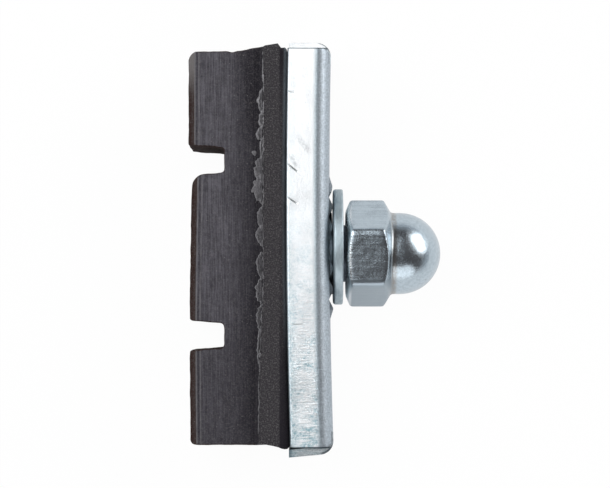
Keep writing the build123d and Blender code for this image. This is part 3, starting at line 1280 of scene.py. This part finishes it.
@dataclass
class MouldFlash:
    """Moulding flash along the lip of the rubber block, built from beads that run together.

    Attributes:
        seed: Seed of the unevenness.
        voxel: Grid of the mesh.
        wear: Passes that run the beads together.
        relief: Depths of its unevenness, each with its features per millimetre.
        near_lobes: Flash on the upper side.
        far_lobes: Flash on the side that lies down.
        pitch: Largest distance between the beads of a lobe.
        lobe_ends: Share of its reach that a lobe has at its ends.
        fullness: Power of a lobe's outline, fuller as it falls below 1.
        unevenness: Span of a lobe's reach, as a share of it.
        rim_rise: Span of the rim's height over the block.
        rim_depth: Span of the half size of the rim's beads along the bolt.
        rim_length: Span of their half size along the pad.
        rim_thickness: Their half size across the pad.
        film_rise: Height over the block of the film behind the rim.
        film_overlap: How far the film runs past the rim and under the lip.
        film_length: Half size of the film's beads along the pad.
        film_thickness: Span of their half size across the pad.
        ridge_start: Upper end of the ridge along the lip.
        ridge_end: Lower end of the ridge.
        ridge_pitch: Distance between its beads.
        ridge_sway: Span of its place along the bolt, from the lip's front.
        ridge_drop: Span of its place below the lip's top.
        ridge_length: Half length of its beads.
        ridge_size: Span of their half thickness.
        crumb: Place of one loose crumb.
        crumb_size: Half sizes of the crumb.
        finish: Rubber of the flash.
    """

    seed: int = 7
    voxel: float = 0.08
    wear: int = 1
    relief: tuple[Span, ...] = ((0.06, 1.6), (0.04, 4.5))
    near_lobes: tuple[Lobe, ...] = (
        Lobe(16.9, 14.5, 0.45), Lobe(14.4, 13.0, 0.34), Lobe(13.0, 11.6, 0.6), Lobe(11.6, 9.9, 0.25),
        Lobe(9.9, 7.4, 0.75), Lobe(7.8, 5.2, 0.95), Lobe(4.6, 2.6, 0.5), Lobe(2.6, 0.8, 0.6),
        Lobe(-0.2, -2.6, 0.6), Lobe(-2.7, -5.2, 0.65), Lobe(-5.6, -8.0, 0.45), Lobe(-8.0, -11.4, 0.2),
    )
    far_lobes: tuple[Lobe, ...] = (
        Lobe(14.0, 11.0, 0.5), Lobe(10.4, 8.0, 0.7), Lobe(7.4, 3.0, 0.35), Lobe(2.6, -1.8, 0.6),
        Lobe(-2.4, -4.0, 0.4), Lobe(-5.2, -9.2, 0.5), Lobe(-9.6, -12.6, 0.25),
    )
    pitch: float = 0.32
    lobe_ends: float = 0.2
    fullness: float = 0.6
    unevenness: Span = (0.82, 1.18)
    rim_rise: Span = (0.2, 0.32)
    rim_depth: Span = (0.12, 0.19)
    rim_length: Span = (0.2, 0.32)
    rim_thickness: float = 0.24
    film_rise: float = 0.1
    film_overlap: float = 0.1
    film_length: float = 0.3
    film_thickness: Span = (0.1, 0.28)
    ridge_start: float = 20.6
    ridge_end: float = -19.6
    ridge_pitch: float = 0.4
    ridge_sway: Span = (-0.02, 0.1)
    ridge_drop: Span = (0.12, 0.22)
    ridge_length: float = 0.32
    ridge_size: Span = (0.06, 0.13)
    crumb: Triple = (-7.85, 10.28, 4.96)
    crumb_size: Triple = (0.38, 0.45, 0.14)
    finish: RubberFinish = RubberFinish(
        name="rubber flash",
        side=(0.46, 0.45, 0.475), dark_and_shade=(0.062, 0.058, 0.066), lip=(0.12, 0.12, 0.124),
        worn=(0.22, 0.215, 0.228), dust_and_highlight=(0.28, 0.27, 0.27), roughness=0.36, gloss=0.5,
        lip_front=0.0, lip_back=5.0,
        # Painted shade: the flash darkens towards the lower end.
        painted_shade_along_pad=Profile(((-14.0, 0.95), (-4.0, 0.88), (1.0, 0.82), (5.5, 0.6), (10.0, 0.65), (12.5, 0.0))),
    )

    def build(self) -> None:
        """Build the piece."""
        flash = Workpiece()
        chance = random.Random(self.seed)
        for side, lobes in ((1, self.near_lobes), (-1, self.far_lobes)):
            for lobe in lobes:
                self.add_lobe(flash, lobe, side, chance)
        self.add_ridge(flash, chance)
        self.add_bead(flash, self.crumb, self.crumb_size)
        flash.remesh(self.voxel)
        flash.smooth(self.wear)
        for depth, scale in self.relief:
            flash.roughen(depth, scale)
        flash.keep_inside("rubber_block")
        flash.piece("mould_flash", self.finish.material(), Slot.RUBBER)

    def add_lobe(self, flash: Workpiece, lobe: Lobe, side: int, chance: random.Random) -> None:
        """Add the rim and the film of one lobe.

        Args:
            flash: The flash's mesh.
            lobe: The lobe.
            side: 1 for the upper side and -1 for the lower.
            chance: Source of the lobe's unevenness.
        """
        length = lobe.start - lobe.end
        count = math.ceil(length / self.pitch)
        for step in range(count + 1):
            share = step / count
            height = lobe.start - share * length
            swell = self.lobe_ends + (1.0 - self.lobe_ends) * math.sin(math.pi * share) ** self.fullness
            reach = lobe.reach * swell * chance.uniform(*self.unevenness)
            front = LIP_FRONT + SWAY.at(height)
            rim = (front - reach, height, side * (BLOCK_TOP + chance.uniform(*self.rim_rise)))
            size = (chance.uniform(*self.rim_depth), chance.uniform(*self.rim_length), self.rim_thickness)
            self.add_bead(flash, rim, size)
            film = (front - reach / 2, height, side * (BLOCK_TOP + self.film_rise))
            size = (reach / 2 + self.film_overlap, self.film_length, chance.uniform(*self.film_thickness))
            self.add_bead(flash, film, size)

    def add_ridge(self, flash: Workpiece, chance: random.Random) -> None:
        """Add the thin uneven ridge along the lip's upper front edge.

        Args:
            flash: The flash's mesh.
            chance: Source of the ridge's unevenness.
        """
        height = self.ridge_start
        while height > self.ridge_end:
            front = LIP_FRONT + SWAY.at(height) + chance.uniform(*self.ridge_sway)
            place = (front, height, LIP_TOP - chance.uniform(*self.ridge_drop))
            size = (chance.uniform(*self.ridge_size), self.ridge_length, chance.uniform(*self.ridge_size))
            self.add_bead(flash, place, size)
            height -= self.ridge_pitch

    def add_bead(self, flash: Workpiece, place: Triple, size: Triple) -> None:
        """Add one rounded bead of flash with a place and half sizes."""
        matrix = Matrix.Translation(place) @ Matrix.Diagonal((*size, 1.0))
        bmesh.ops.create_icosphere(flash.mesh, subdivisions=1, radius=1.0, matrix=matrix)


@dataclass(frozen=True)
class Softbox:
    """One soft lamp that faces the pad.

    Attributes:
        name: Name of the lamp.
        place: Its middle.
        width: Its width.
        height: Its height.
        power: Its power in watts.
        colour: Its colour.
        level: Whether it faces straight down.
        outline: Its outline.
    """

    name: str
    place: Triple
    width: float
    height: float
    power: float
    colour: Colour
    level: bool = False
    outline: Outline = Outline.ELLIPSE

    def build(self) -> None:
        """Add the lamp to the scene."""
        lamp = bpy.data.lights.new(self.name, "AREA")
        lamp.shape = self.outline.value
        lamp.size = self.width * MM
        lamp.size_y = self.height * MM
        lamp.energy = self.power
        lamp.color = self.colour
        made = placed(self.name, lamp)
        made.location = Vector(self.place) * MM
        if not self.level:
            made.rotation_euler = (-made.location).to_track_quat("-Z", "Y").to_euler()


@dataclass
class Studio:
    """Floor, surroundings, lamps and camera.

    Attributes:
        eye: Where the camera stands.
        target: Where it looks.
        sensor: Width of its sensor.
        focal: Its focal length.
        floor_size: Half length of the floor.
        floor_drop: How far the floor lies under the pad.
        floor_white: Share of its own white that the floor shows to the camera.
        floor_mirrored: Share of it that metal mirrors.
        paper: Colour of the floor.
        paper_roughness: Roughness of the floor.
        horizon: Colour of the surroundings.
        nut_side: Their colour on the side of the nut.
        overhead: Their colour overhead, where the camera stands.
        dimming: Brightness of the surroundings as a light.
        softboxes: The lamps.
    """

    eye: Triple = (-2.5, -6.87, 240.0)
    target: Triple = (-2.54, 1.01, 0.0)
    sensor: float = 36.0
    focal: float = 133.9
    floor_size: float = 1500.0
    floor_drop: float = 0.05
    floor_white: float = 0.965
    floor_mirrored: float = 0.6
    paper: Colour = (0.95, 0.95, 0.95)
    paper_roughness: float = 0.9
    horizon: Colour = (1.0, 1.0, 1.0)
    nut_side: Colour = (0.5, 0.53, 0.56)
    overhead: Colour = (0.078, 0.069, 0.069)
    dimming: float = 0.85
    softboxes: tuple[Softbox, ...] = (
        Softbox(
            "left softbox", (-451.0, 185.0, 450.0), width=840.0, height=480.0, power=3.82,
            colour=(0.97, 0.99, 1.0), level=True, outline=Outline.RECTANGLE,
        ),
        Softbox(
            "right softbox", (385.0, 220.0, 230.0), width=500.0, height=360.0, power=1.45,
            colour=(1.0, 0.99, 0.98),
        ),
        Softbox(
            "front softbox", (40.0, -450.0, 300.0), width=700.0, height=360.0, power=0.9,
            colour=(0.98, 0.99, 1.0),
        ),
    )

    def build(self) -> None:
        """Build the floor, the surroundings, the lamps and the camera."""
        self.floor()
        self.surroundings()
        for softbox in self.softboxes:
            softbox.build()
        self.camera()

    def seen(self, wiring: Wiring, direct: float, mirrored: float) -> Socket:
        """Share of the background's own white on the rays that show it.

        Args:
            wiring: Wiring of the material or the world.
            direct: Share on the camera's rays.
            mirrored: Share on rays by way of metal or glass.

        Returns:
            The share's socket.
        """
        path = wiring.add("ShaderNodeLightPath").outputs
        by_way = wiring.times(wiring.most(path["Is Glossy Ray"], path["Is Transmission Ray"]), mirrored)
        return wiring.most(wiring.times(path["Is Camera Ray"], direct), by_way)

    def floor(self) -> None:
        """Lay the pale floor, which shows white and keeps the pad's shadow."""
        work = Workpiece()
        level = Matrix.Translation((0.0, 0.0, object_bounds()[0].z / MM - self.floor_drop))
        bmesh.ops.create_grid(work.mesh, x_segments=1, y_segments=1, size=self.floor_size, matrix=level)
        floor = placed("floor", work.data("floor"))
        canvas = Canvas("floor")
        paper = canvas.join(canvas.shader, {"Base Color": self.paper, "Roughness": self.paper_roughness})
        glow = canvas.add("ShaderNodeEmission").outputs[0]
        seen = self.seen(canvas, self.floor_white, self.floor_mirrored)
        mixed = canvas.join(canvas.add("ShaderNodeMixShader"), {0: seen, 1: paper, 2: glow})
        canvas.feed(canvas.tree.nodes["Material Output"].inputs["Surface"], mixed)
        floor.data.materials.append(canvas.material)
        floor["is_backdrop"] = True

    def surroundings(self) -> None:
        """Set the world: white round the horizon, grey on the side of the nut, and dim overhead."""
        world = bpy.data.worlds.new("studio")
        world.use_nodes = True
        bpy.context.scene.world = world
        wiring = Wiring(world.node_tree)
        aside, ahead, rise = wiring.split(wiring.add("ShaderNodeTexCoord").outputs["Generated"])
        turned = wiring.scaled(aside, 0.8, wiring.times(ahead, 0.6))
        shade = wiring.blend(wiring.fade(turned, 0.0, 0.6), self.horizon, self.nut_side)
        shade = wiring.blend(wiring.fade(rise, 0.15, 0.4), shade, self.overhead)
        white = 1.0 - self.dimming
        strength = wiring.math("ADD", self.seen(wiring, white, white), self.dimming)
        wiring.join(wiring.tree.nodes["Background"], {"Color": shade, "Strength": strength})

    def camera(self) -> None:
        """Set the camera over the pad, at the photograph's viewing angle."""
        lens = bpy.data.cameras.new("camera")
        lens.sensor_width = self.sensor
        lens.lens = self.focal
        lens.clip_start = 10.0 * MM
        camera = placed("camera", lens)
        camera.location = Vector(self.eye) * MM
        aim = (Vector(self.target) - Vector(self.eye)).normalized()
        right = aim.cross(Vector((0.0, 1.0, 0.0))).normalized()
        turn = Matrix((right, right.cross(aim), -aim)).transposed()
        camera.rotation_euler = turn.to_euler()
        bpy.context.scene.camera = camera


def main() -> None:
    """Build the pad and the studio."""
    logging.basicConfig(level=logging.INFO)
    bpy.context.scene.view_settings.view_transform = "Standard"
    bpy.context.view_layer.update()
    for builder in (EffectShop, ShoeHolder, Fasteners, RubberBlock, MouldFlash, Studio):
        builder().build()


if __name__ == "__main__":
    main()
